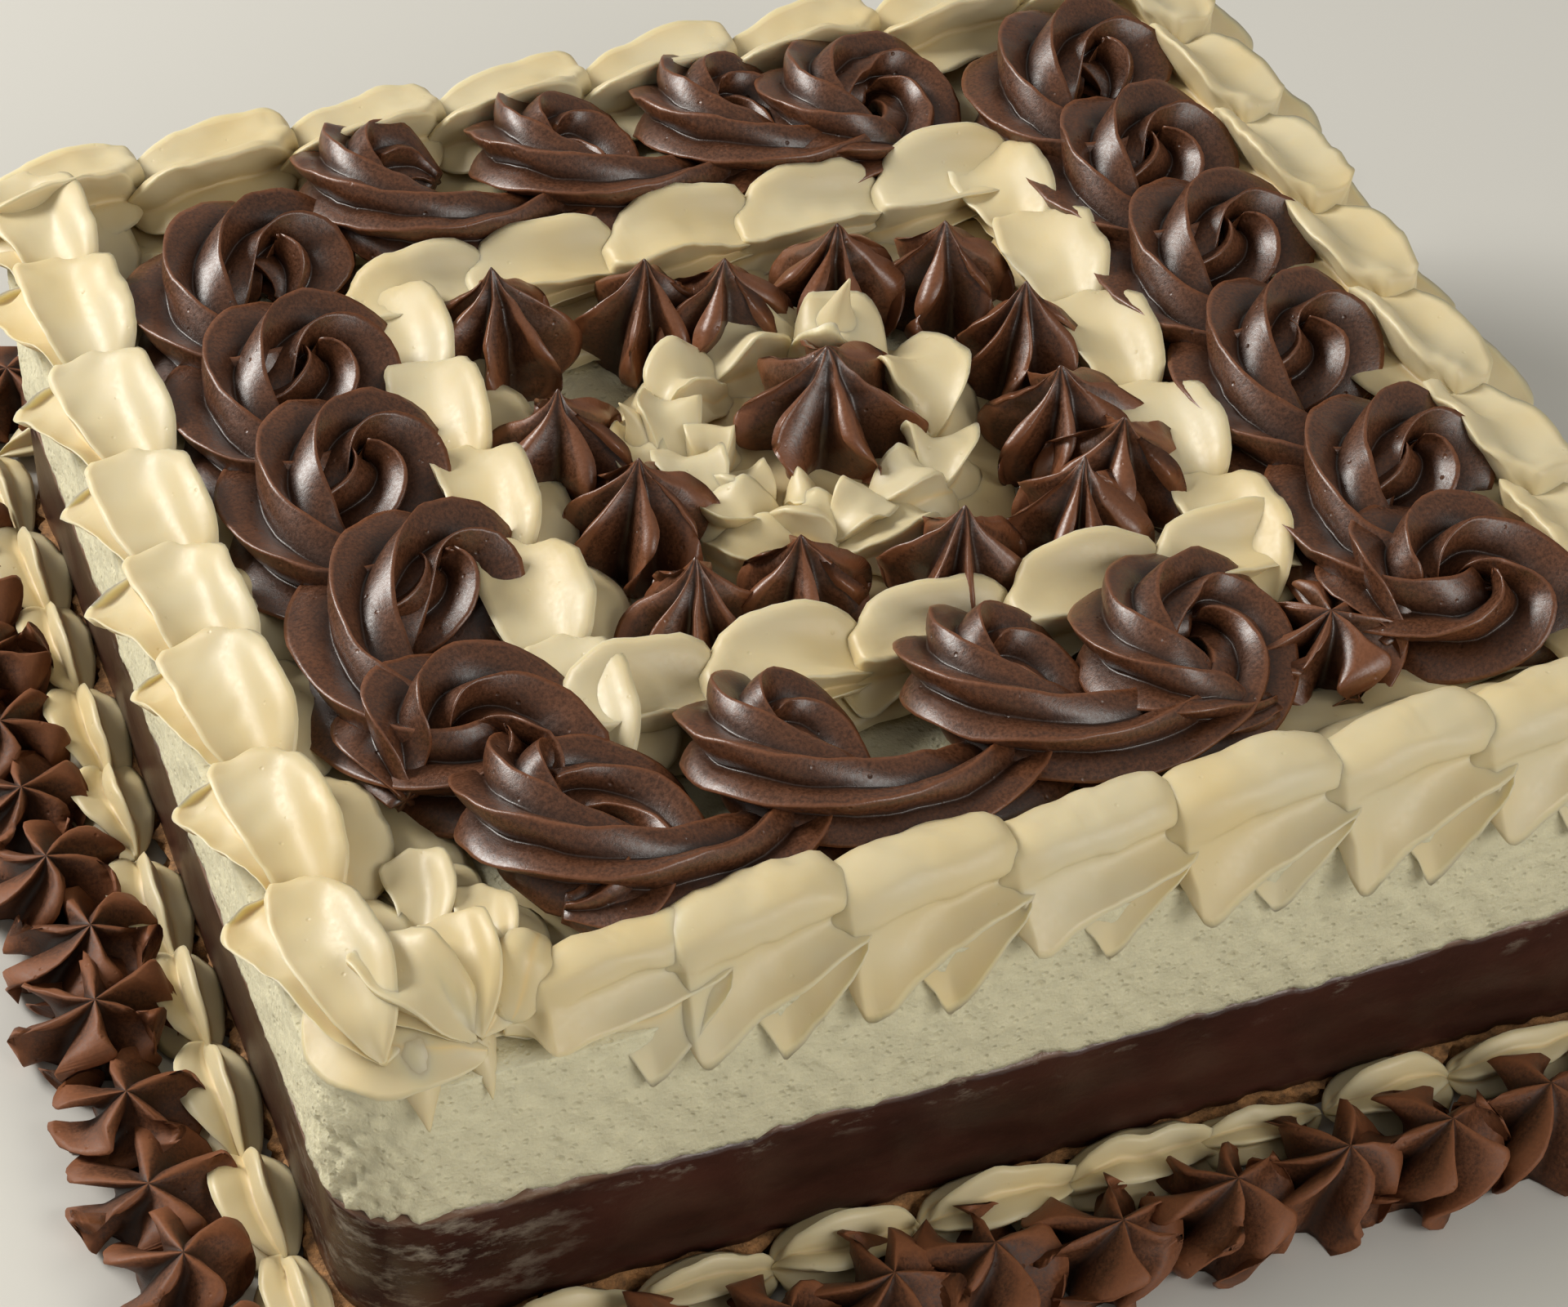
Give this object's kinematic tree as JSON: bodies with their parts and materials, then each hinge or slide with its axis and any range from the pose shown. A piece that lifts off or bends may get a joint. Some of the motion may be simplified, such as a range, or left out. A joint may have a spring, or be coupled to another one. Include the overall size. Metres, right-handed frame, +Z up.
{
  "type": "square chocolate mousse cake with piped buttercream",
  "caption": "Square layered mousse cake on a crumb base, with cream shells, chocolate loops and stars piped on top and round its foot.",
  "frame": {"origin": "on the surface that the cake stands on, under the centre of its bounding box", "axes": "+Z up; the shown long side faces -Y and the right side faces +X"},
  "size_m": [0.285, 0.285, 0.0793],
  "materials": {
    "crumb": "coarse golden-brown crumbs, matte",
    "ganache": "smooth dark chocolate, satin",
    "mousse": "pale mousse with fine pores, matte",
    "cream": "smooth vanilla buttercream, satin",
    "chocolate": "fine-grained chocolate buttercream, satin"
  },
  "bodies": {
    "root": {"chocolate_loops_back": "chocolate", "chocolate_loops_front": "chocolate", "chocolate_loops_left": "chocolate", "chocolate_loops_right": "chocolate", "cream_centre": "cream", "crumb_base": "crumb", "foot_cream_back": "cream", "foot_cream_front": "cream", "foot_cream_left": "cream", "foot_cream_right": "cream", "foot_stars_back": "chocolate", "foot_stars_front": "chocolate", "foot_stars_left": "chocolate", "foot_stars_right": "chocolate", "ganache_layer": "ganache", "inner_shells_back": "cream", "inner_shells_front": "cream", "inner_shells_left": "cream", "inner_shells_right": "cream", "mousse_layer": "mousse", "shell_border_back": "cream", "shell_border_front": "cream", "shell_border_left": "cream", "shell_border_right": "cream", "star_01": "chocolate", "star_02": "chocolate", "star_03": "chocolate", "star_04": "chocolate", "star_05": "chocolate", "star_06": "chocolate", "star_07": "chocolate", "star_08": "chocolate", "star_09": "chocolate", "star_10": "chocolate", "star_11": "chocolate", "star_12": "chocolate", "star_13": "chocolate", "star_14": "chocolate", "star_centre": "chocolate"}
  },
  "joints": []
}
